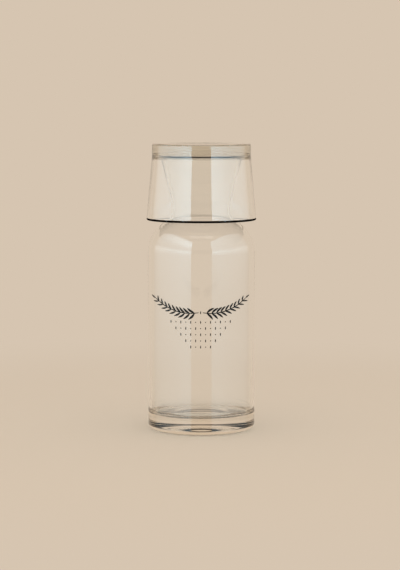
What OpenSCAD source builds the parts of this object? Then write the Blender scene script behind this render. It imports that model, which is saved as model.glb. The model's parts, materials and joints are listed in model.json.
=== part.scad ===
// Bedside carafe of clear glass with a drinking tumbler turned over its neck as a lid.
// Both pieces are bodies of revolution about Z. The origin is the centre of the foot, on the standing plane.

/* [Carafe body] */
// Outside diameter of the straight body
body_d = 86; // [78:1:110]
// Height of the straight side, from the standing plane to the start of the shoulder
body_h = 143.5; // [90:0.5:190]
// Thickness of the shoulder, the neck and the upper side wall
wall = 1.3; // [1:0.1:3]

/* [Carafe foot] */
// Thickness of the side wall just above the inside floor
foot_wall = 2.6; // [1.4:0.1:4]
// Height of the inside floor's edge above the standing plane
floor_t = 13.5; // [10:0.5:24]
// Radius where the inside floor turns up into the wall
floor_fillet_r = 5; // [4:0.5:16]
// Width of the flat ring round the dish of the inside floor
floor_ring_w = 1.5; // [0.5:0.5:6]
// Depth of the dish at its middle
floor_dish_h = 1; // [0.5:0.1:3]
// Radius of the outside edge of the foot
heel_r = 5; // [1:0.5:5]
// Diameter of the round hollow under the foot
punt_d = 52; // [30:1:66]
// Depth of the hollow at its middle
punt_h = 4.5; // [1:0.1:5]

/* [Carafe neck] */
// Radius of the round shoulder
shoulder_r = 28.2; // [22:0.2:36]
// Outside diameter of the neck at its narrowest
waist_d = 46.8; // [38:0.2:56]
// Radius of the hollow curve between the shoulder and the waist
waist_curve_r = 11; // [7:0.5:16]
// Height of the flared neck, from the waist to the mouth
neck_h = 43.8; // [34:0.1:54]
// Outside diameter of the mouth
mouth_d = 65.6; // [62:0.2:72]
// Radius of the long curve that starts the flare
flare_r = 45; // [30:1:70]
// Width of the mouth's thickened lip
lip_w = 2.4; // [2:0.1:4]
// Rounding of the lip's two edges
lip_edge_r = 0.8; // [0.4:0.1:0.9]

/* [Tumbler] */
// How far the tumbler's rim stands out past the carafe's side
rim_proud = 1; // [0.5:0.1:4]
// Height of the tumbler's rim above the start of the shoulder
rim_lift = 25.5; // [20:0.5:34]
// Thickness of the tumbler's rim
rim_w = 2.4; // [2.2:0.1:3.4]
// Rounding of the rim's two edges
rim_edge_r = 1.1; // [0.4:0.1:1.1]
// Thickness of the tumbler's solid base at its edge
base_t = 8.8; // [8:0.2:20]
// Height of the straight band round the base
band_h = 10.5; // [4:0.5:14]
// Thickness of the tumbler's wall beside its inside floor
base_wall = 1.8; // [1.4:0.1:4]
// Radius where the tumbler's inside floor turns into its wall
base_fillet_r = 4.2; // [2:0.1:8]
// How far the tumbler's inside floor domes up over the carafe's mouth
base_rise = 3.4; // [1:0.2:4.4]
// Radius of the outside edge of the base
base_edge_r = 1.5; // [0.5:0.1:3]
// Diameter of the shallow hollow in the base
base_punt_d = 50; // [30:1:58]
// Depth of the hollow at its middle
base_punt_h = 0.7; // [0.4:0.1:2]
// Gap round the mouth before the tumbler's inside floor starts to curve
seat_gap = 0.8; // [0.5:0.1:4]

/* [Hidden] */

// Sides of the round forms, and degrees between two points of an arc
$fn = 180;
arc_step = 5;

glass = [0.87, 0.91, 0.9, 0.4];

body_r = body_d / 2;
foot_inside_r = body_r - foot_wall;
floor_r = foot_inside_r - floor_fillet_r;
waist_half = waist_d / 2;
mouth_r = mouth_d / 2;

// The shoulder's arc and the waist's hollow arc meet where both lean by this angle
shoulder_x = body_r - shoulder_r;
waist_x = waist_half + waist_curve_r;
shoulder_turn = acos((waist_x - shoulder_x) / (shoulder_r + waist_curve_r));
waist_z = body_h + (shoulder_r + waist_curve_r) * sin(shoulder_turn);
mouth_z = waist_z + neck_h;

// The tumbler hangs its inside floor on the mouth and its rim over the shoulder
seat_r = mouth_r + seat_gap;
base_r = seat_r + base_fillet_r + base_wall;
rim_r = body_r + rim_proud;
rim_z = body_h + rim_lift;
base_z = mouth_z + base_t;

// Points along an arc of radius r about a centre, from one angle to another
function arc(centre, r, from, to) =
    let (steps = ceil(abs(to - from) / arc_step))
    [for (i = [0 : steps]) centre + r * dir(from + (to - from) * i / steps)];

// Unit vector at an angle from the radius
function dir(angle) = [cos(angle), sin(angle)];

// Lean from upright of a straight wall between two round ends. The way from the lower centre to the upper
// one is run, and reach is how much further out the wall passes the lower centre than the upper one.
function lean(run, reach) = atan2(run.x, run.y) - asin(reach / norm(run));

// Points of a shallow round hollow, from its middle out to its edge
function hollow(d, h) =
    let (r = (pow(d / 2, 2) + pow(h, 2)) / (2 * h))
    arc([0, h - r], r, 90, acos(d / 2 / r));

// Turns a profile over and lifts it, for a base that faces up
function turned_over(points, z) = [for (p = points) [p.x, z - p.y]];

// Points of a shallow round bump, from its edge in to its middle
function bump(d, h, z) =
    let (points = hollow(d, h), last = len(points) - 1)
    [for (i = [0 : last]) [points[last - i].x, z + points[last - i].y]];

// Joins lists of points into one outline
function joined(lists) = [for (list = lists) for (p = list) p];

module carafe() {
    flare = [waist_half + flare_r, waist_z];
    lip_out = [mouth_r - lip_edge_r, mouth_z - lip_edge_r];
    lip_in = [mouth_r - lip_w + lip_edge_r, mouth_z - lip_edge_r];
    out_lean = lean(lip_out - flare, -flare_r - lip_edge_r);
    in_lean = lean(lip_in - flare, lip_edge_r - flare_r - wall);
    shoulder = [shoulder_x, body_h];
    waist = [waist_x, waist_z];

    foot = joined([
        hollow(punt_d, punt_h),
        arc([body_r - heel_r, heel_r], heel_r, -90, 0)
    ]);
    outside = joined([
        arc(shoulder, shoulder_r, 0, shoulder_turn),
        arc(waist, waist_curve_r, 180 + shoulder_turn, 180),
        arc(flare, flare_r, 180, 180 - out_lean)
    ]);
    lip = joined([
        arc(lip_out, lip_edge_r, -out_lean, 90),
        arc(lip_in, lip_edge_r, 90, 180 - in_lean)
    ]);
    inside = joined([
        arc(flare, flare_r + wall, 180 - in_lean, 180),
        arc(waist, waist_curve_r + wall, 180, 180 + shoulder_turn),
        arc(shoulder, shoulder_r - wall, shoulder_turn, 0),
        arc([floor_r, floor_t + floor_fillet_r], floor_fillet_r, 0, -90)
    ]);
    dish = turned_over(bump(2 * (floor_r - floor_ring_w), floor_dish_h, 0), floor_t);

    color(glass)
        rotate_extrude()
            polygon(joined([foot, outside, lip, inside, dish]));
}

module tumbler() {
    rim_out = [rim_r - rim_edge_r, rim_z + rim_edge_r];
    rim_in = [rim_r - rim_w + rim_edge_r, rim_z + rim_edge_r];
    band_foot = [base_r, base_z - band_h];
    floor_turn = [seat_r, mouth_z - base_fillet_r];
    out_lean = lean(band_foot - rim_out, rim_edge_r);
    in_lean = lean(floor_turn - rim_in, -rim_edge_r - base_fillet_r);

    base = turned_over(joined([
        hollow(base_punt_d, base_punt_h),
        arc([base_r - base_edge_r, base_edge_r], base_edge_r, -90, 0)
    ]), base_z);
    rim = joined([
        arc(rim_out, rim_edge_r, -out_lean, -90),
        arc(rim_in, rim_edge_r, -90, -180 - in_lean)
    ]);
    inside = joined([
        arc(floor_turn, base_fillet_r, -in_lean, 90),
        bump(mouth_d - 2 * lip_w, base_rise, mouth_z)
    ]);

    color(glass)
        rotate_extrude()
            polygon(joined([base, [band_foot], rim, inside]));
}

carafe();
tumbler();
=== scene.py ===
import json
import logging
import math
from collections.abc import Sequence
from dataclasses import dataclass, field
from enum import Enum

import bpy
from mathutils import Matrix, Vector

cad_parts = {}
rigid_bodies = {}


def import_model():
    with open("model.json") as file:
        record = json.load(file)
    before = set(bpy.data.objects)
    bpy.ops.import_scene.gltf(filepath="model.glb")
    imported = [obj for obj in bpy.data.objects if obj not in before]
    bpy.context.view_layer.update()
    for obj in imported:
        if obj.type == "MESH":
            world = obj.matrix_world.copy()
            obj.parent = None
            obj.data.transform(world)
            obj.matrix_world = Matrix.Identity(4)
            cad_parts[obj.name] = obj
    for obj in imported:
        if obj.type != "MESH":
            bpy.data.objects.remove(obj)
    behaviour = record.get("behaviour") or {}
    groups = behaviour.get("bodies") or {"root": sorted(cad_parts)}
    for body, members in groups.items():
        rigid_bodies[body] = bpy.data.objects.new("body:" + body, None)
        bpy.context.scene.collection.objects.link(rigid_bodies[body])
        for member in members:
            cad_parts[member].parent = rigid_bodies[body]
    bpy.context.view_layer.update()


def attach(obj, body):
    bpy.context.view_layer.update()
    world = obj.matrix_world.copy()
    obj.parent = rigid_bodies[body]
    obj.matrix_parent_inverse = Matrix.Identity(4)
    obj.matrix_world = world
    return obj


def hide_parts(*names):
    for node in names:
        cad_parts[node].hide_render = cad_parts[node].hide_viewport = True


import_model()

LOG = logging.getLogger("carafe")

# The sizes of the glass and the ink are in millimetres, and the stage's are in metres
MM = 0.001

# Runs of a dome or hollow, from the axis to its edge
CAP_STEPS = 16

Point = tuple[float, float]
Span = tuple[float, float]
Colour = tuple[float, float, float, float]
Socket = bpy.types.NodeSocket

WHITE: Colour = (1.0, 1.0, 1.0, 1.0)


class Side(Enum):
    """A side of the glass as seen from the front, and its direction along X."""

    LEFT = -1
    RIGHT = 1


def linear(red: int, green: int, blue: int) -> Colour:
    """Turns an 8-bit display colour into the linear colour that a shader takes.

    Args:
        red, green, blue: The display values, from 0 to 255.

    Returns:
        The linear colour with an alpha of 1.
    """
    shares = [value / 255 for value in (red, green, blue)]
    # The display's own curve: a straight run near black, and a power above it
    flat = [s / 12.92 if s <= 0.04045 else ((s + 0.055) / 1.055) ** 2.4 for s in shares]
    return (flat[0], flat[1], flat[2], 1.0)


def dimmed(colour: Colour, share: float) -> Colour:
    """Returns a colour at a share of its brightness."""
    return (colour[0] * share, colour[1] * share, colour[2] * share, 1.0)


def polar(angle: float) -> Vector:
    """Returns the unit vector at an angle in degrees from the radius."""
    return Vector((math.cos(math.radians(angle)), math.sin(math.radians(angle))))


def lean(run: Vector, reach: float) -> float:
    """Finds the lean from upright of a straight wall between two round ends.

    Args:
        run: The way from the lower centre to the upper one.
        reach: How much further out the wall passes the lower centre than the upper one.

    Returns:
        The lean in degrees.
    """
    return math.degrees(math.atan2(run.x, run.y) - math.asin(reach / run.length))


def clear_selection() -> None:
    """Leaves edit mode and deselects every object."""
    if bpy.context.mode != "OBJECT":
        bpy.ops.object.mode_set(mode="OBJECT")
    bpy.ops.object.select_all(action="DESELECT")


def pick(piece: bpy.types.Object) -> None:
    """Selects one object alone and makes it the active one.

    Args:
        piece: The object.
    """
    clear_selection()
    piece.select_set(True)
    bpy.context.view_layer.objects.active = piece


def lone_vertex(name: str) -> bpy.types.Object:
    """Starts a piece as one selected vertex at the origin, and stays in edit mode.

    Args:
        name: The piece's name.

    Returns:
        The new piece.
    """
    clear_selection()
    bpy.ops.mesh.primitive_plane_add(size=MM, location=(0, 0, 0))
    piece = bpy.context.active_object
    piece.name = piece.data.name = name
    bpy.ops.object.mode_set(mode="EDIT")
    bpy.ops.mesh.select_mode(type="VERT")
    bpy.ops.mesh.select_all(action="SELECT")
    bpy.ops.mesh.merge(type="CENTER")
    return piece


def face_out() -> None:
    """Turns all faces of the piece in edit mode outwards, and leaves edit mode."""
    bpy.ops.mesh.select_all(action="SELECT")
    bpy.ops.mesh.normals_make_consistent(inside=False)
    bpy.ops.object.mode_set(mode="OBJECT")


def dress(piece: bpy.types.Object, material: bpy.types.Material) -> None:
    """Gives a piece one material in place of any other."""
    piece.data.materials.clear()
    piece.data.materials.append(material)


class NodeTree:
    """A short way to add shader nodes and wire them."""

    def __init__(self, tree: bpy.types.NodeTree) -> None:
        """Empties the node tree of a material or of the world, and keeps it."""
        self.tree = tree
        self.tree.nodes.clear()

    def add(self, kind: str, **settings: object) -> bpy.types.Node:
        """Adds a node and sets its properties.

        Args:
            kind: The node's type name.
            settings: Properties of the node, by name.

        Returns:
            The new node.
        """
        node = self.tree.nodes.new(kind)
        for name, value in settings.items():
            setattr(node, name, value)
        return node

    def wire(self, source: Socket, target: Socket) -> None:
        """Links an output socket to an input socket."""
        self.tree.links.new(source, target)

    def fill(self, node: bpy.types.Node, **values: object) -> bpy.types.Node:
        """Sets the default values of a node's inputs.

        Args:
            node: The node to set.
            values: Input names, with each space as an underscore, and their values.

        Returns:
            The same node.
        """
        for name, value in values.items():
            node.inputs[name.replace("_", " ")].default_value = value
        return node

    def give(self, value: Socket | Colour | float, target: Socket) -> None:
        """Wires a socket to an input, or sets a constant on it.

        Args:
            value: The socket or the constant.
            target: The input.
        """
        if isinstance(value, bpy.types.NodeSocket):
            self.wire(value, target)
        else:
            target.default_value = value

    def calc(self, operation: str, *values: Socket | float) -> Socket:
        """Adds a Math node.

        Args:
            operation: What the node works out.
            values: What it takes, as sockets or constants.

        Returns:
            The result.
        """
        node = self.add("ShaderNodeMath", operation=operation)
        for value, target in zip(values, node.inputs):
            self.give(value, target)
        return node.outputs[0]

    def span(self, value: Socket, start: float, stop: float, smooth: bool = False) -> Socket:
        """Turns a value into a share, held between 0 and 1.

        Args:
            value: The value.
            start: The value that gives 0.
            stop: The value that gives 1.
            smooth: Whether the share eases in and out.

        Returns:
            The share.
        """
        kind = "SMOOTHSTEP" if smooth else "LINEAR"
        node = self.add("ShaderNodeMapRange", interpolation_type=kind)
        self.fill(node, From_Min=start, From_Max=stop)
        self.wire(value, node.inputs["Value"])
        return node.outputs["Result"]

    def noise(self, place: Socket, scale: float, detail: float) -> Socket:
        """Adds a soft random pattern.

        Args:
            place: The coordinates.
            scale: The pattern's scale.
            detail: Its count of finer layers.

        Returns:
            The pattern, about 0.5.
        """
        node = self.fill(self.add("ShaderNodeTexNoise"), Scale=scale, Detail=detail)
        self.wire(place, node.inputs["Vector"])
        return node.outputs["Fac"]

    def bump(self, height: Socket, strength: float, distance: float) -> Socket:
        """Adds a relief.

        Args:
            height: The pattern of the relief.
            strength: How much of it shows.
            distance: Its depth in metres.

        Returns:
            The normal.
        """
        node = self.fill(self.add("ShaderNodeBump"), Strength=strength, Distance=distance)
        self.wire(height, node.inputs["Height"])
        return node.outputs["Normal"]

    def ramp(self, share: Socket, stops: Sequence[tuple[float, Colour]]) -> Socket:
        """Adds a run of colours.

        Args:
            share: The place on the run, from 0 to 1.
            stops: Places in order, and the colour at each.

        Returns:
            The colour.
        """
        node = self.add("ShaderNodeValToRGB")
        elements = node.color_ramp.elements
        while len(elements) < len(stops):
            elements.new(0.5)
        for element, (place, colour) in zip(elements, stops):
            element.position = place
            element.color = colour
        self.wire(share, node.inputs["Fac"])
        return node.outputs["Color"]

    def mix(self, share: Socket, first: Socket | Colour, second: Socket | Colour) -> Socket:
        """Mixes two colours.

        Args:
            share: How much of the second colour shows.
            first: The first colour.
            second: The second colour.

        Returns:
            The mixed colour.
        """
        node = self.add("ShaderNodeMix", data_type="RGBA")
        # Inputs 6 and 7 and output 2 are the node's colours
        self.wire(share, node.inputs[0])
        self.give(first, node.inputs[6])
        self.give(second, node.inputs[7])
        return node.outputs[2]

    def blend(self, share: Socket, first: Socket, second: Socket) -> Socket:
        """Mixes two shaders.

        Args:
            share: How much of the second shader shows.
            first: The first shader.
            second: The second shader.

        Returns:
            The mixed shader.
        """
        node = self.add("ShaderNodeMixShader")
        for source, target in zip((share, first, second), node.inputs):
            self.wire(source, target)
        return node.outputs["Shader"]

    def show(self, surface: Socket, kind: str = "ShaderNodeOutputMaterial") -> bpy.types.Node:
        """Adds the output and gives it its surface.

        Args:
            surface: The shader to show.
            kind: The output node's type name.

        Returns:
            The output node.
        """
        node = self.add(kind)
        self.wire(surface, node.inputs["Surface"])
        return node


def new_material(name: str) -> tuple[bpy.types.Material, NodeTree]:
    """Makes a material with an empty node tree.

    Args:
        name: The material's name.

    Returns:
        The material and its tree.
    """
    material = bpy.data.materials.new(name)
    material.use_nodes = True
    return material, NodeTree(material.node_tree)


@dataclass(frozen=True)
class ClearGlass:
    """Clear polished glass, with a faint waviness from the mould and a trace of colour in its depth.

    It bends light a little less than window glass does.
    """

    ior: float = 1.474
    clear: Colour = WHITE
    cool: Colour = (0.99, 0.995, 0.99, 1.0)
    depth_colour: Colour = (0.86, 0.72, 0.52, 1.0)
    depth_density: float = 6.0
    tint_scale: float = 13.0
    tint_detail: float = 2.0
    wave_scale: float = 26.0
    wave_detail: float = 1.0
    wave_height: float = 0.00004
    wave_strength: float = 0.35
    shade: float = 0.97

    def surface(self, nodes: NodeTree, seed: float) -> Socket:
        """Builds the polished surface.

        Args:
            nodes: The material's node tree.
            seed: A shift of the patterns, so that two pieces don't share the same waves.

        Returns:
            The shader.
        """
        glass = nodes.add("ShaderNodeBsdfPrincipled")
        nodes.fill(glass, IOR=self.ior, Transmission_Weight=1.0, Roughness=0.0)
        place = nodes.add("ShaderNodeTexCoord")
        shift = nodes.fill(nodes.add("ShaderNodeMapping"), Location=(seed, -seed, seed / 2))
        nodes.wire(place.outputs["Object"], shift.inputs["Vector"])
        spot = shift.outputs["Vector"]

        tint = nodes.noise(spot, self.tint_scale, self.tint_detail)
        nodes.wire(nodes.ramp(tint, ((0.0, self.cool), (1.0, self.clear))), glass.inputs["Base Color"])
        wave = nodes.noise(spot, self.wave_scale, self.wave_detail)
        nodes.wire(nodes.bump(wave, self.wave_strength, self.wave_height), glass.inputs["Normal"])

        # Lamps reach what is behind the glass, with a little of its shadow kept
        path = nodes.add("ShaderNodeLightPath")
        lets_by = nodes.fill(nodes.add("ShaderNodeBsdfTransparent"), Color=dimmed(WHITE, self.shade))
        return nodes.blend(path.outputs["Is Shadow Ray"], glass.outputs["BSDF"], lets_by.outputs["BSDF"])

    def show(self, nodes: NodeTree, surface: Socket) -> None:
        """Adds the output, with the colour that light takes on in the glass's depth.

        Args:
            nodes: The material's node tree.
            surface: The shader to show.
        """
        depth = nodes.add("ShaderNodeVolumeAbsorption")
        nodes.fill(depth, Color=self.depth_colour, Density=self.depth_density)
        nodes.wire(depth.outputs["Volume"], nodes.show(surface).inputs["Volume"])

    def material(self, name: str, seed: float) -> bpy.types.Material:
        """Builds the glass for one piece.

        Args:
            name: The material's name.
            seed: The shift of the patterns.

        Returns:
            The new material.
        """
        material, nodes = new_material(name)
        self.show(nodes, self.surface(nodes, seed))
        return material


@dataclass(frozen=True)
class PaintedRimShade:
    """A painted dark line on the rim's outside: painted shade in place of the dim room that a thick
    fire-polished rim bends to the eye.
    """

    glass: ClearGlass
    # The painted near-black of the rim's outside, which stands in for shade
    dark: Colour = (0.004, 0.003, 0.0025, 1.0)

    def material(self, name: str, seed: float) -> bpy.types.Material:
        """Builds clear glass that is painted near-black from outside, as painted shade, and clear from
        inside.

        Args:
            name: The material's name.
            seed: The shift of the glass patterns.

        Returns:
            The new material.
        """
        material, nodes = new_material(name)
        clear = self.glass.surface(nodes, seed)
        dark = nodes.fill(nodes.add("ShaderNodeBsdfDiffuse"), Color=self.dark)
        side = nodes.add("ShaderNodeNewGeometry")
        self.glass.show(nodes, nodes.blend(side.outputs["Backfacing"], dark.outputs["BSDF"], clear))
        return material


@dataclass(frozen=True)
class FiredInk:
    """Thin black ceramic ink, a little uneven where it was fired on to the glass."""

    full: Colour = (0.006, 0.005, 0.004, 1.0)
    thin: Colour = (0.022, 0.018, 0.015, 1.0)
    # Where the grain's pattern turns from full to thin, and between which values it changes the roughness
    cover: Span = (0.35, 0.7)
    rough_span: Span = (0.3, 0.7)
    roughness: Span = (0.42, 0.62)
    sheen: float = 0.12
    grain: float = 900.0
    grain_detail: float = 3.0
    grain_strength: float = 0.4
    grain_height: float = 0.00002

    def material(self, name: str) -> bpy.types.Material:
        """Builds the ink.

        Args:
            name: The material's name.

        Returns:
            The new material.
        """
        material, nodes = new_material(name)
        ink = nodes.fill(nodes.add("ShaderNodeBsdfPrincipled"), Specular_IOR_Level=self.sheen)
        place = nodes.add("ShaderNodeTexCoord")
        grain = nodes.noise(place.outputs["Object"], self.grain, self.grain_detail)
        colour = nodes.ramp(grain, tuple(zip(self.cover, (self.full, self.thin))))
        rough = nodes.add("ShaderNodeMapRange")
        nodes.fill(rough, From_Min=self.rough_span[0], From_Max=self.rough_span[1])
        nodes.fill(rough, To_Min=self.roughness[0], To_Max=self.roughness[1])
        nodes.wire(grain, rough.inputs["Value"])
        nodes.wire(colour, ink.inputs["Base Color"])
        nodes.wire(rough.outputs["Result"], ink.inputs["Roughness"])
        nodes.wire(nodes.bump(grain, self.grain_strength, self.grain_height), ink.inputs["Normal"])
        nodes.show(ink.outputs["BSDF"])
        return material


@dataclass
class Section:
    """Half of a turned piece's outline, from the axis out and back to it, in millimetres."""

    points: list[Vector] = field(default_factory=list)

    def to(self, spot: Vector) -> "Section":
        """Adds one point, given by its radius and height, and returns the section itself."""
        self.points.append(spot)
        return self

    def arc(self, centre: Vector, radius: float, start: float, stop: float, step: float) -> "Section":
        """Adds the points of an arc.

        Args:
            centre: The arc's centre.
            radius: The arc's radius.
            start: The angle of its first point, in degrees from the radius.
            stop: The angle of its last point.
            step: The most degrees from one point to the next.

        Returns:
            The section itself.
        """
        steps = max(2, math.ceil(abs(stop - start) / step))
        for index in range(steps + 1):
            self.points.append(centre + radius * polar(start + (stop - start) * index / steps))
        return self

    def cap(self, radius: float, depth: float, height: float, outwards: bool) -> "Section":
        """Adds a shallow dome or hollow about the axis.

        Args:
            radius: The radius of its edge.
            depth: How far its middle stands above its edge.
            height: The height of its edge.
            outwards: Whether the points run from the axis out to the edge.

        Returns:
            The section itself.
        """
        ball = (radius * radius + depth * depth) / (2 * abs(depth))
        half = math.degrees(math.asin(radius / ball))
        run = []
        for index in range(CAP_STEPS + 1):
            angle = math.radians(half * index / CAP_STEPS)
            rise = ball * math.cos(angle) - ball + abs(depth)
            run.append(Vector((ball * math.sin(angle), height + math.copysign(rise, depth))))
        self.points += run if outwards else run[::-1]
        return self

    def turned_over(self, height: float) -> "Section":
        """Returns the section upside down, with its zero level at a height."""
        return Section([Vector((p.x, height - p.y)) for p in self.points])

    def clean(self, least: float = 0.001) -> list[Vector]:
        """Leaves out each point that repeats the one before.

        Args:
            least: The least distance from one point to the next.

        Returns:
            The points that are left.
        """
        kept = self.points[:1]
        for point in self.points[1:]:
            if (point - kept[-1]).length > least:
                kept.append(point)
        return kept


@dataclass(frozen=True)
class Turner:
    """Turns a section about Z with the spin tool."""

    steps: int = 180
    smooth_angle: float = 38.0
    weld: float = 0.002

    def turn(self, name: str, section: Section) -> bpy.types.Object:
        """Draws the section point by point, spins it and closes it.

        Args:
            name: The piece's name.
            section: The half outline, in millimetres.

        Returns:
            The turned piece.
        """
        points = [Vector((p.x * MM, 0.0, p.y * MM)) for p in section.clean()]
        piece = lone_vertex(name)
        bpy.ops.transform.translate(value=points[0])
        for before, after in zip(points, points[1:]):
            bpy.ops.mesh.extrude_vertices_move(TRANSFORM_OT_translate={"value": after - before})
        bpy.ops.mesh.select_all(action="SELECT")
        bpy.ops.mesh.spin(steps=self.steps, angle=math.tau, center=(0, 0, 0), axis=(0, 0, 1))
        bpy.ops.mesh.select_all(action="SELECT")
        bpy.ops.mesh.remove_doubles(threshold=self.weld * MM)
        face_out()
        bpy.ops.object.shade_smooth_by_angle(angle=math.radians(self.smooth_angle))
        clear_selection()
        return piece


@dataclass
class Carafe:
    """The vessel: foot, thick floor, straight side, round shoulder and flared neck in one piece of glass."""

    body_d: float = 86.0
    body_h: float = 143.5
    wall: float = 1.3
    foot_wall: float = 2.6
    floor_t: float = 13.5
    floor_fillet_r: float = 5.0
    floor_ring_w: float = 1.5
    floor_dish_h: float = 1.0
    heel_r: float = 5.0
    punt_d: float = 52.0
    punt_h: float = 4.5
    shoulder_r: float = 28.2
    waist_d: float = 46.8
    waist_curve_r: float = 11.0
    neck_h: float = 43.8
    mouth_d: float = 65.6
    flare_r: float = 45.0
    lip_w: float = 2.4
    lip_edge_r: float = 0.8
    # Degrees from one point to the next: on the heel, the long curves, the waist, the lip and the fillet
    heel_step: float = 7.5
    sweep_step: float = 2.0
    waist_step: float = 3.0
    lip_step: float = 12.0
    fillet_step: float = 4.0
    wave_seed: float = 0.0
    finish: ClearGlass = ClearGlass()

    @property
    def waist_curve(self) -> tuple[float, float]:
        """Finds where the hollow curve between shoulder and waist starts and ends.

        Returns:
            The shoulder's turn in degrees, and the waist's height.
        """
        out = self.waist_d / 2 + self.waist_curve_r - self.body_d / 2 + self.shoulder_r
        turn = math.degrees(math.acos(out / (self.shoulder_r + self.waist_curve_r)))
        rise = (self.shoulder_r + self.waist_curve_r) * math.sin(math.radians(turn))
        return turn, self.body_h + rise

    @property
    def mouth_z(self) -> float:
        """The height of the mouth."""
        return self.waist_curve[1] + self.neck_h

    def section(self) -> Section:
        """Works out the half outline, from the hollow under the foot round to the dish of the floor.

        Returns:
            The vessel's section.
        """
        body_r, mouth_r = self.body_d / 2, self.mouth_d / 2
        inside_r = body_r - self.foot_wall
        turn, waist_z = self.waist_curve
        shoulder = Vector((body_r - self.shoulder_r, self.body_h))
        waist = Vector((self.waist_d / 2 + self.waist_curve_r, waist_z))
        flare = Vector((self.waist_d / 2 + self.flare_r, waist_z))
        lip_out = Vector((mouth_r - self.lip_edge_r, self.mouth_z - self.lip_edge_r))
        lip_in = Vector((mouth_r - self.lip_w + self.lip_edge_r, self.mouth_z - self.lip_edge_r))
        out_lean = lean(lip_out - flare, -self.flare_r - self.lip_edge_r)
        in_lean = lean(lip_in - flare, self.lip_edge_r - self.flare_r - self.wall)
        floor_turn = Vector((inside_r - self.floor_fillet_r, self.floor_t + self.floor_fillet_r))
        dish_r = floor_turn.x - self.floor_ring_w

        outline = Section().cap(self.punt_d / 2, self.punt_h, 0.0, outwards=True)
        outline.arc(Vector((body_r - self.heel_r, self.heel_r)), self.heel_r, -90, 0, self.heel_step)
        outline.arc(shoulder, self.shoulder_r, 0, turn, self.sweep_step)
        outline.arc(waist, self.waist_curve_r, 180 + turn, 180, self.waist_step)
        outline.arc(flare, self.flare_r, 180, 180 - out_lean, self.sweep_step)
        outline.arc(lip_out, self.lip_edge_r, -out_lean, 90, self.lip_step)
        outline.arc(lip_in, self.lip_edge_r, 90, 180 - in_lean, self.lip_step)
        outline.arc(flare, self.flare_r + self.wall, 180 - in_lean, 180, self.sweep_step)
        outline.arc(waist, self.waist_curve_r + self.wall, 180, 180 + turn, self.waist_step)
        outline.arc(shoulder, self.shoulder_r - self.wall, turn, 0, self.sweep_step)
        outline.arc(floor_turn, self.floor_fillet_r, 0, -90, self.fillet_step)
        return outline.cap(dish_r, -self.floor_dish_h, self.floor_t, outwards=False)

    def build(self) -> bpy.types.Object:
        """Turns the vessel, dresses it and puts it in the place of its solid.

        Returns:
            The vessel.
        """
        piece = Turner().turn("carafe_glass", self.section())
        dress(piece, self.finish.material("carafe_glass", self.wave_seed))
        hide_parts("carafe")
        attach(piece, "carafe")
        return piece


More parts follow.
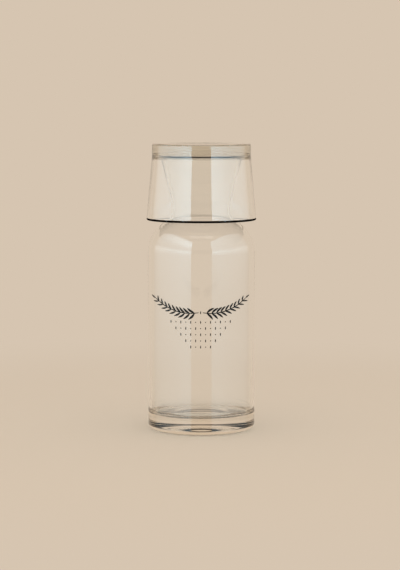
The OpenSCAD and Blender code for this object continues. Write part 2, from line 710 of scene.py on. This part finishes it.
@dataclass
class Tumbler:
    """The drinking glass that stands upside down over the neck."""

    carafe: Carafe
    rim_proud: float = 1.0
    rim_lift: float = 25.5
    rim_w: float = 2.4
    rim_edge_r: float = 1.1
    base_t: float = 8.8
    band_h: float = 10.5
    base_wall: float = 1.8
    base_fillet_r: float = 4.2
    base_edge_r: float = 1.5
    base_punt_d: float = 50.0
    base_punt_h: float = 0.7
    seat_gap: float = 0.8
    base_rise: float = 3.4
    rest_gap: float = 0.03
    # How far up the rim's outside the painted dark line reaches
    painted_shade_h: float = 1.8
    # Degrees from one point to the next: on the rounded edges, and on the fillet
    edge_step: float = 9.0
    fillet_step: float = 5.0
    wave_seed: float = 0.37
    finish: ClearGlass = ClearGlass(depth_colour=(0.65, 0.59, 0.45, 1.0), depth_density=11.0)

    @property
    def rim_r(self) -> float:
        """The outside radius of the rim."""
        return self.carafe.body_d / 2 + self.rim_proud

    @property
    def rim_z(self) -> float:
        """The height of the rim."""
        return self.carafe.body_h + self.rim_lift + self.rest_gap

    def section(self) -> Section:
        """Works out the half outline, upside down on the mouth, from the base to the rim and up inside.

        Returns:
            The tumbler's section.
        """
        seat_z = self.carafe.mouth_z + self.rest_gap
        seat_r = self.carafe.mouth_d / 2 + self.seat_gap
        dome_r = self.carafe.mouth_d / 2 - self.carafe.lip_w
        base_r = seat_r + self.base_fillet_r + self.base_wall
        base_z = seat_z + self.base_t
        edge = Vector((base_r - self.base_edge_r, self.base_edge_r))
        rim_out = Vector((self.rim_r - self.rim_edge_r, self.rim_z + self.rim_edge_r))
        rim_in = Vector((self.rim_r - self.rim_w + self.rim_edge_r, self.rim_z + self.rim_edge_r))
        band_foot = Vector((base_r, base_z - self.band_h))
        floor_turn = Vector((seat_r, seat_z - self.base_fillet_r))
        out_lean = lean(band_foot - rim_out, self.rim_edge_r)
        in_lean = lean(floor_turn - rim_in, -self.rim_edge_r - self.base_fillet_r)

        base = Section().cap(self.base_punt_d / 2, self.base_punt_h, 0.0, outwards=True)
        base.arc(edge, self.base_edge_r, -90, 0, self.edge_step)
        outline = base.turned_over(base_z).to(band_foot)
        # The wall has a point where the rim's painted dark line stops
        wall_end = rim_out + self.rim_edge_r * polar(-out_lean)
        share = (self.rim_z + self.painted_shade_h - wall_end.y) / (band_foot.y - wall_end.y)
        outline.to(wall_end.lerp(band_foot, share))
        outline.arc(rim_out, self.rim_edge_r, -out_lean, -90, self.edge_step)
        outline.arc(rim_in, self.rim_edge_r, -90, -180 - in_lean, self.edge_step)
        outline.arc(floor_turn, self.base_fillet_r, -in_lean, 90, self.fillet_step)
        return outline.cap(dome_r, self.base_rise, seat_z, outwards=False)

    def paint_rim_shade(self, piece: bpy.types.Object) -> None:
        """Paints the dark line, a painted shade, on the outside of the rim.

        Args:
            piece: The turned tumbler, with its glass in the first slot.
        """
        piece.data.materials.append(PaintedRimShade(self.finish).material("tumbler_rim_painted_shade", self.wave_seed))
        line_top = (self.rim_z + self.painted_shade_h) * MM
        rim_mid = (self.rim_r - self.rim_w / 2) * MM
        for face in piece.data.polygons:
            if face.center.z < line_top and math.hypot(face.center.x, face.center.y) > rim_mid:
                face.material_index = 1

    def build(self) -> bpy.types.Object:
        """Turns the tumbler, dresses it and puts it in the place of its solid.

        Returns:
            The tumbler.
        """
        piece = Turner().turn("tumbler_glass", self.section())
        dress(piece, self.finish.material("tumbler_glass", self.wave_seed))
        # The rim's outside gets its painted dark line, a painted shade
        self.paint_rim_shade(piece)
        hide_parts("tumbler")
        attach(piece, "tumbler")
        return piece


def bend(points: list[Point], step: float) -> list[Point]:
    """Draws a smooth curve through a few points.

    Args:
        points: The points that the curve passes.
        step: The most millimetres from one point of the curve to the next.

    Returns:
        The points of the curve.
    """
    ends = [points[0], *points, points[-1]]
    curve = []
    for a, b, c, d in zip(ends, ends[1:], ends[2:], ends[3:]):
        count = max(2, math.ceil(math.dist(b, c) / step))
        for index in range(count):
            t = index / count
            curve.append(tuple(
                0.5 * (2 * b[k] + (c[k] - a[k]) * t + (2 * a[k] - 5 * b[k] + 4 * c[k] - d[k]) * t * t
                       + (3 * b[k] - a[k] - 3 * c[k] + d[k]) * t ** 3)
                for k in range(2)
            ))
    return curve + [points[-1]]


@dataclass(frozen=True)
class Pen:
    """Draws flat strokes of ink: a nib edge is extruded along a path, and turned and resized on the way."""

    full: float = 0.85
    fine: float = 0.42
    # How pointed the ends are: 0.5 is blunt, 1 is a lens
    taper: float = 0.5

    def stroke(self, name: str, path: list[Point]) -> bpy.types.Object:
        """Draws one stroke on a sheet that faces the front, thinner towards both ends.

        Args:
            name: The stroke's name.
            path: Its points in millimetres, across and up.

        Returns:
            The flat stroke.
        """
        spots = [Vector((x * MM, 0.0, z * MM)) for x, z in path]
        last = len(spots) - 1
        ways, widths = [], []
        for index in range(last + 1):
            run = spots[min(index + 1, last)] - spots[max(index - 1, 0)]
            swell = math.sin(math.pi * index / last) ** self.taper if 0 < index < last else 0.0
            ways.append(math.atan2(run.z, run.x))
            widths.append((self.fine + (self.full - self.fine) * swell) * MM)
        piece = lone_vertex(name)
        nib = Vector((-math.sin(ways[0]), 0.0, math.cos(ways[0]))) * widths[0]
        bpy.ops.transform.translate(value=spots[0] - nib / 2)
        bpy.ops.mesh.extrude_vertices_move(TRANSFORM_OT_translate={"value": nib})
        bpy.ops.mesh.select_linked()
        for index in range(1, last + 1):
            step = spots[index] - spots[index - 1]
            turn = math.remainder(ways[index] - ways[index - 1], math.tau)
            size = widths[index] / widths[index - 1]
            bpy.ops.mesh.extrude_edges_move(TRANSFORM_OT_translate={"value": step})
            bpy.ops.transform.rotate(value=turn, orient_axis="Y", center_override=spots[index])
            bpy.ops.transform.resize(value=(size, size, size), center_override=spots[index])
        bpy.ops.object.mode_set(mode="OBJECT")
        return piece


def stamp(mark: bpy.types.Object, x: float, z: float, angle: float = 0, size: float = 1) -> bpy.types.Object:
    """Sets a copy of a mark on the flat sheet.

    Args:
        mark: The mark to copy.
        x, z: The place of its origin in millimetres.
        angle: Its turn in degrees, against the clock as seen from the front.
        size: Its size as a share of the mark's own.

    Returns:
        The copy, with its own mesh.
    """
    copy = mark.copy()
    copy.data = mark.data.copy()
    bpy.context.scene.collection.objects.link(copy)
    copy.location = (x * MM, 0.0, z * MM)
    copy.rotation_euler = (0.0, -math.radians(angle), 0.0)
    copy.scale = (size, size, size)
    return copy


@dataclass(frozen=True)
class Sprig:
    """A stem with a leaf on either side at even steps and one at its tip, drawn with the pen."""

    stem: tuple[Point, ...] = ((1.6, 98.6), (10.0, 98.0), (19.0, 99.4), (28.0, 103.0), (35.4, 108.2))
    stem_step: float = 0.35
    pairs: int = 9
    first_share: float = 0.1
    # Lengths of the lowest leaves and of the one at the tip, and the length that the leaf is drawn at
    lengths: Span = (7.2, 4.2)
    leaf_length: float = 6.0
    spread: float = 40.0

    def draw(self, side: Side, pen: Pen, leaf: bpy.types.Object, centre: float) -> list[bpy.types.Object]:
        """Draws the stem and sets a copy of the leaf at each of its places.

        Args:
            side: The side that the sprig grows to.
            pen: The pen for the stem.
            leaf: A leaf that grows from the origin along X.
            centre: The middle of the drawing, across.

        Returns:
            The strokes.
        """
        curve = bend([(centre + side.value * x, z) for x, z in self.stem], self.stem_step)
        strokes = [pen.stroke("stem", curve)]
        last = len(curve) - 1
        for index in range(self.pairs + 1):
            share = index / self.pairs
            spot = round((self.first_share + (1 - self.first_share) * share) * last)
            (x0, z0), (x1, z1) = curve[max(spot - 1, 0)], curve[min(spot + 1, last)]
            way = math.degrees(math.atan2(z1 - z0, x1 - x0))
            size = (self.lengths[0] + (self.lengths[1] - self.lengths[0]) * share) / self.leaf_length
            for turn in (self.spread, -self.spread) if spot < last else (0.0,):
                strokes.append(stamp(leaf, *curve[spot], way + turn, size))
        return strokes


@dataclass(frozen=True)
class Ornament:
    """A traditional drawing in fired ink: a pair of leafy branches over a pointed field of seeds and dots."""

    sprig: Sprig = Sprig()
    # How far the leaf bows, half the heights of the seed and the dot, and the steps of their curves
    leaf_bow: float = 0.35
    leaf_step: float = 0.5
    seed_half: float = 1.2
    seed_step: float = 0.3
    dot_half: float = 0.45
    dot_step: float = 0.2
    # The field: its top row's height and count of marks, and the way between marks and between rows
    field_top: float = 91.0
    field_marks: int = 13
    field_pitch: float = 3.9
    field_rows: int = 5
    field_step: float = 4.9
    centre: float = -0.6
    sheet_y: float = -60.0
    lift: float = 0.02
    film: float = 0.03
    pen: Pen = Pen()
    leaf_pen: Pen = Pen(full=1.5, fine=0.12, taper=1.0)
    seed_pen: Pen = Pen(full=0.8, fine=0.2, taper=1.0)
    finish: FiredInk = FiredInk()

    def marks(self) -> tuple[bpy.types.Object, ...]:
        """Draws each mark that the drawing repeats once.

        Returns:
            The leaf, the seed and the dot.
        """
        length = self.sprig.leaf_length
        leaf = bend([(0.0, 0.0), (length / 2, self.leaf_bow), (length, 0.0)], self.leaf_step)
        seed = bend([(0.0, -self.seed_half), (0.0, self.seed_half)], self.seed_step)
        dot = bend([(0.0, -self.dot_half), (0.0, self.dot_half)], self.dot_step)
        return (
            self.leaf_pen.stroke("leaf", leaf),
            self.seed_pen.stroke("seed", seed),
            self.seed_pen.stroke("dot", dot),
        )

    def draw(self) -> list[bpy.types.Object]:
        """Draws the branches, the seed between them and the field, and puts the marks away.

        Returns:
            The strokes.
        """
        marks = self.marks()
        leaf, seed, dot = marks
        strokes = self.sprig.draw(Side.RIGHT, self.pen, leaf, self.centre)
        strokes += self.sprig.draw(Side.LEFT, self.pen, leaf, self.centre)
        strokes.append(stamp(seed, self.centre, self.sprig.stem[0][1]))
        for row in range(self.field_rows):
            count = self.field_marks - 2 * row
            height = self.field_top - self.field_step * row
            for index in range(count):
                across = self.centre + self.field_pitch * (index - (count - 1) / 2)
                strokes.append(stamp((seed, dot)[index % 2], across, height))
        for mark in marks:
            bpy.data.objects.remove(mark)
        return strokes

    def build(self, glass: bpy.types.Object) -> bpy.types.Object:
        """Draws the ornament flat, joins it and wraps it on to the front of the glass.

        Args:
            glass: The turned vessel.

        Returns:
            The ink.
        """
        strokes = self.draw()
        ink = strokes[0]
        pick(ink)
        for stroke in strokes:
            stroke.select_set(True)
        bpy.ops.object.join()
        ink.name = ink.data.name = "ornament"
        ink.location.y = self.sheet_y * MM
        bpy.ops.object.transform_apply(location=True, rotation=True, scale=True)
        self.wrap(ink, glass)
        dress(ink, self.finish.material("fired_ink"))
        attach(ink, "carafe")
        return ink

    def wrap(self, ink: bpy.types.Object, glass: bpy.types.Object) -> None:
        """Projects the flat ink on to the glass and gives it the thickness of a film.

        Args:
            ink: The flat strokes.
            glass: The turned vessel.
        """
        pick(ink)
        project = ink.modifiers.new("wrap", "SHRINKWRAP")
        project.target = glass
        project.wrap_method = "PROJECT"
        project.use_project_y = True
        project.use_positive_direction = True
        project.offset = self.lift * MM
        bpy.ops.object.modifier_apply(modifier="wrap")
        film = ink.modifiers.new("film", "SOLIDIFY")
        film.thickness = self.film * MM
        film.offset = 1.0
        bpy.ops.object.modifier_apply(modifier="film")
        bpy.ops.object.mode_set(mode="EDIT")
        face_out()
        clear_selection()


@dataclass(frozen=True)
class Softbox:
    """A large soft window that only reflections see, with its own brightness at each height.

    It is dim and brown at its far end and bright and cool towards the camera.
    """

    side: Side
    strength: float
    # Heights in metres and the share of the strength there
    levels: tuple[Point, ...]
    turn: float = 72.0
    fade_across: float = 0.8
    distance: float = 1.3
    height: float = 0.2
    width: float = 3.12
    length: float = 3.0
    colour: Colour = (0.63, 0.86, 1.0, 1.0)
    far_colour: Colour = (0.17, 0.145, 0.12, 1.0)

    def material(self, name: str) -> bpy.types.Material:
        """Builds the glow, which follows the levels up the window and fades away from the camera.

        Args:
            name: The material's name.

        Returns:
            The new material.
        """
        material, nodes = new_material(name)
        place = nodes.add("ShaderNodeTexCoord")
        split = nodes.add("ShaderNodeSeparateXYZ")
        nodes.wire(place.outputs["Object"], split.inputs["Vector"])
        low, high = self.levels[0][0], self.levels[-1][0]
        up = nodes.span(split.outputs["Y"], low - self.height, high - self.height)
        stops = [((height - low) / (high - low), dimmed(WHITE, share)) for height, share in self.levels]
        far = self.side.value * self.width / 2
        along = nodes.span(split.outputs["X"], far, far * (1 - 2 * self.fade_across))
        glow = nodes.add("ShaderNodeEmission")
        nodes.wire(nodes.mix(along, self.far_colour, self.colour), glow.inputs["Color"])
        nodes.wire(nodes.calc("MULTIPLY", nodes.ramp(up, stops), self.strength), glow.inputs["Strength"])
        nodes.show(glow.outputs["Emission"])
        return material

    def build(self) -> None:
        """Stands the softbox beside the camera, facing the axis."""
        turn = math.radians(self.side.value * self.turn)
        clear_selection()
        bpy.ops.mesh.primitive_plane_add(size=1.0)
        card = bpy.context.active_object
        card.name = card.data.name = "softbox_" + self.side.name.lower()
        bpy.ops.transform.resize(value=(self.width, self.length, 1.0))
        bpy.ops.object.transform_apply(location=False, rotation=False, scale=True)
        card.location = (self.distance * math.sin(turn), -self.distance * math.cos(turn), self.height)
        card.rotation_euler = (math.pi / 2, 0.0, turn)
        dress(card, self.material(card.name))
        card.visible_camera = card.visible_diffuse = False
        card.visible_transmission = card.visible_shadow = False


@dataclass(frozen=True)
class Bearings:
    """Where a ray goes: its share towards the back, its azimuth from the back, and its elevation."""

    back: Socket
    aside: Socket
    rise: Socket


@dataclass(frozen=True)
class Card:
    """A dim card on both sides of the axis, with its azimuths from the back and its elevations in degrees."""

    side: Span
    rise: Span
    share: float

    def lay(self, nodes: NodeTree, bearings: Bearings, under: Socket, backdrop: Colour) -> Socket:
        """Lays the card over the surround.

        Args:
            nodes: The world's node tree.
            bearings: The ray's bearings.
            under: The colour of the surround without the card.
            backdrop: The colour that the card has its share of.

        Returns:
            The colour of the surround with the card.
        """
        inside = []
        for angle, (low, high) in ((bearings.aside, self.side), (bearings.rise, self.rise)):
            middle, half = math.radians(low + high) / 2, math.radians(high - low) / 2
            inside.append(nodes.calc("COMPARE", angle, middle, half))
        return nodes.mix(nodes.calc("MULTIPLY", *inside), under, dimmed(backdrop, self.share))


@dataclass(frozen=True)
class Surround:
    """What the glass shows round it: a pale backdrop to some way over the horizon, and a dark room above."""

    backdrop: Colour = linear(214, 197, 177)
    ambient: float = 0.8
    ambient_colour: Colour = (1.0, 0.99, 0.97, 1.0)
    # Brightness by elevation in degrees, as a share of the backdrop's: round about, and straight in front
    around: tuple[Point, ...] = ((-90, 1), (23, 1), (24, 0.02), (90, 0.02))
    before: tuple[Point, ...] = ((-90, 1), (60, 1), (70, 0.05), (90, 0.05))
    # Where the part straight in front starts and is whole, by a level ray's share towards the back
    before_start: float = -0.8
    before_stop: float = -0.97
    # Where the room starts and is whole for reflections, which see the plain backdrop in front of it
    room_start: float = -0.3
    room_stop: float = 0.1
    # The cards behind draw the glass's thin dark outlines, and the front one dims the tumbler's middle
    behind: Card = Card(side=(5.0, 20.0), rise=(2.0, 22.0), share=0.12)
    front: Card = Card(side=(100.0, 180.0), rise=(0.0, 14.0), share=0.55)

    def bearings(self, nodes: NodeTree) -> Bearings:
        """Works out where a ray goes.

        Args:
            nodes: The world's node tree.

        Returns:
            The ray's bearings, with its angles in radians.
        """
        way = nodes.add("ShaderNodeTexCoord")
        split = nodes.add("ShaderNodeSeparateXYZ")
        nodes.wire(way.outputs["Generated"], split.inputs["Vector"])
        turn = nodes.calc("ARCTAN2", split.outputs["X"], split.outputs["Y"])
        rise = nodes.calc("ARCSINE", split.outputs["Z"])
        return Bearings(split.outputs["Y"], nodes.calc("ABSOLUTE", turn), rise)

    def by_height(self, nodes: NodeTree, height: Socket, levels: tuple[Point, ...]) -> Socket:
        """Gives the backdrop another brightness at each elevation.

        Args:
            nodes: The world's node tree.
            height: The elevation, from 0 straight down to 1 straight up.
            levels: Elevations in degrees and the share of the brightness there.

        Returns:
            The colour.
        """
        stops = [((degrees + 90) / 180, dimmed(self.backdrop, share)) for degrees, share in levels]
        return nodes.ramp(height, stops)

    def room(self, nodes: NodeTree, bearings: Bearings) -> Socket:
        """Builds the backdrop and the room over it, which starts higher straight in front than round about.

        Args:
            nodes: The world's node tree.
            bearings: The ray's bearings.

        Returns:
            The room's colour.
        """
        height = nodes.span(bearings.rise, -math.pi / 2, math.pi / 2)
        around = self.by_height(nodes, height, self.around)
        before = self.by_height(nodes, height, self.before)
        level_back = nodes.calc("COSINE", bearings.aside)
        near = nodes.span(level_back, self.before_start, self.before_stop, smooth=True)
        return nodes.mix(near, around, before)

    def build(self) -> None:
        """Builds the world: what is seen through the glass, in it, past it and by scattered light."""
        world = bpy.data.worlds.new("surround")
        bpy.context.scene.world = world
        world.use_nodes = True
        nodes = NodeTree(world.node_tree)
        bearings = self.bearings(nodes)
        room = self.room(nodes, bearings)
        to_back = nodes.span(bearings.back, self.room_start, self.room_stop, smooth=True)
        mirrored = nodes.mix(to_back, self.backdrop, room)

        seen_through = nodes.add("ShaderNodeBackground")
        nodes.wire(self.behind.lay(nodes, bearings, room, self.backdrop), seen_through.inputs["Color"])
        reflected = nodes.add("ShaderNodeBackground")
        nodes.wire(self.front.lay(nodes, bearings, mirrored, self.backdrop), reflected.inputs["Color"])
        plain = nodes.fill(nodes.add("ShaderNodeBackground"), Color=self.backdrop)
        soft = nodes.add("ShaderNodeBackground")
        nodes.fill(soft, Color=self.ambient_colour, Strength=self.ambient)
        path = nodes.add("ShaderNodeLightPath")
        scattered = nodes.calc("GREATER_THAN", path.outputs["Diffuse Depth"], 0.5)
        surface = seen_through.outputs["Background"]
        for when, then in (
            (path.outputs["Is Glossy Ray"], reflected),
            (path.outputs["Is Camera Ray"], plain),
            (scattered, soft),
        ):
            surface = nodes.blend(when, surface, then.outputs["Background"])
        nodes.show(surface, "ShaderNodeOutputWorld")


@dataclass(frozen=True)
class Floor:
    """A pale sweep that takes the glass's shadow and fades into the backdrop."""

    near: Colour = linear(216, 199, 179)
    far: Colour = linear(214, 197, 177)
    half: float = 3.0
    fade_start: float = 0.25
    fade_stop: float = 0.6

    def material(self) -> bpy.types.Material:
        """Builds the paper of the sweep.

        Returns:
            The new material.
        """
        material, nodes = new_material("floor")
        paper = nodes.fill(nodes.add("ShaderNodeBsdfDiffuse"), Color=self.near)
        glow = nodes.fill(nodes.add("ShaderNodeEmission"), Color=self.far)
        place = nodes.add("ShaderNodeTexCoord")
        away = nodes.add("ShaderNodeVectorMath", operation="LENGTH")
        nodes.wire(place.outputs["Object"], away.inputs[0])
        fade = nodes.span(away.outputs["Value"], self.fade_start, self.fade_stop, smooth=True)
        nodes.show(nodes.blend(fade, paper.outputs["BSDF"], glow.outputs["Emission"]))
        return material

    def build(self) -> None:
        """Lays the floor."""
        clear_selection()
        bpy.ops.mesh.primitive_plane_add(size=2 * self.half)
        floor = bpy.context.active_object
        floor.name = floor.data.name = "floor"
        dress(floor, self.material())
        floor.visible_glossy = False


@dataclass(frozen=True)
class View:
    """The camera, fitted to the ellipses of the foot and the tumbler's rim."""

    distance: float = 1.7
    height: float = 0.28043
    pitch: float = 5.511
    sensor_mm: float = 36.0
    focal_px: float = 2120.8
    axis_px: float = 201.4
    frame_px: tuple[int, int] = (400, 570)

    def build(self) -> None:
        """Builds the camera and makes it the scene's."""
        lens = bpy.data.cameras.new("view")
        lens.sensor_fit = "AUTO"
        lens.sensor_width = self.sensor_mm
        lens.lens = self.sensor_mm * self.focal_px / max(self.frame_px)
        camera = bpy.data.objects.new("view", lens)
        bpy.context.scene.collection.objects.link(camera)
        camera.location = (0.0, -self.distance, self.height)
        yaw = math.atan((self.axis_px - self.frame_px[0] / 2) / self.focal_px)
        camera.rotation_euler = (math.pi / 2 - math.radians(self.pitch), 0.0, yaw)
        bpy.context.scene.camera = camera


@dataclass(frozen=True)
class TopLamp:
    """A wide soft lamp overhead, which gives the glass its faint shadow."""

    distance: float = 0.4
    height: float = 1.6
    size: float = 1.2
    watts: float = 6.0

    def build(self) -> None:
        """Hangs the lamp and aims it at the foot."""
        light = bpy.data.lights.new("top_lamp", "AREA")
        light.shape = "SQUARE"
        light.size = self.size
        light.energy = self.watts
        lamp = bpy.data.objects.new("top_lamp", light)
        bpy.context.scene.collection.objects.link(lamp)
        lamp.location = (0.0, -self.distance, self.height)
        lamp.rotation_euler = (-lamp.location).to_track_quat("-Z", "Y").to_euler()
        lamp.visible_camera = lamp.visible_transmission = False


@dataclass(frozen=True)
class Stage:
    """The floor, the surround, the lights and the camera."""

    floor: Floor = Floor()
    surround: Surround = Surround()
    lamp: TopLamp = TopLamp()
    softboxes: tuple[Softbox, ...] = (
        Softbox(side=Side.LEFT, strength=7.4, levels=(
            (-0.1, 0.3), (0.3, 0.95), (0.38, 0.95), (0.5, 0.5),
            (0.8, 0.7), (1.1, 1.0), (1.4, 0.9), (1.7, 0.2),
        )),
        Softbox(side=Side.RIGHT, strength=6.6, levels=(
            (-0.05, 0.27), (0.3, 0.95), (0.38, 0.95), (0.5, 0.55), (1.1, 0.6),
        )),
    )
    view: View = View()
    glass_bounces: int = 32
    glossy_bounces: int = 16

    def build(self) -> None:
        """Builds everything round the glass."""
        self.floor.build()
        self.surround.build()
        self.lamp.build()
        for softbox in self.softboxes:
            softbox.build()
        self.view.build()
        scene = bpy.context.scene
        scene.view_settings.view_transform = "Standard"
        scene.cycles.max_bounces = scene.cycles.transmission_bounces = self.glass_bounces
        scene.cycles.glossy_bounces = self.glossy_bounces


def main() -> None:
    """Builds the glass, the stage and the camera, and reports each piece."""
    logging.basicConfig(level=logging.INFO, format="%(message)s")
    carafe = Carafe()
    tumbler = Tumbler(carafe)
    vessel = carafe.build()
    for piece in (vessel, tumbler.build(), Ornament().build(vessel)):
        LOG.info("%s: %d faces", piece.name, len(piece.data.polygons))
    Stage().build()


if __name__ == "__main__":
    main()
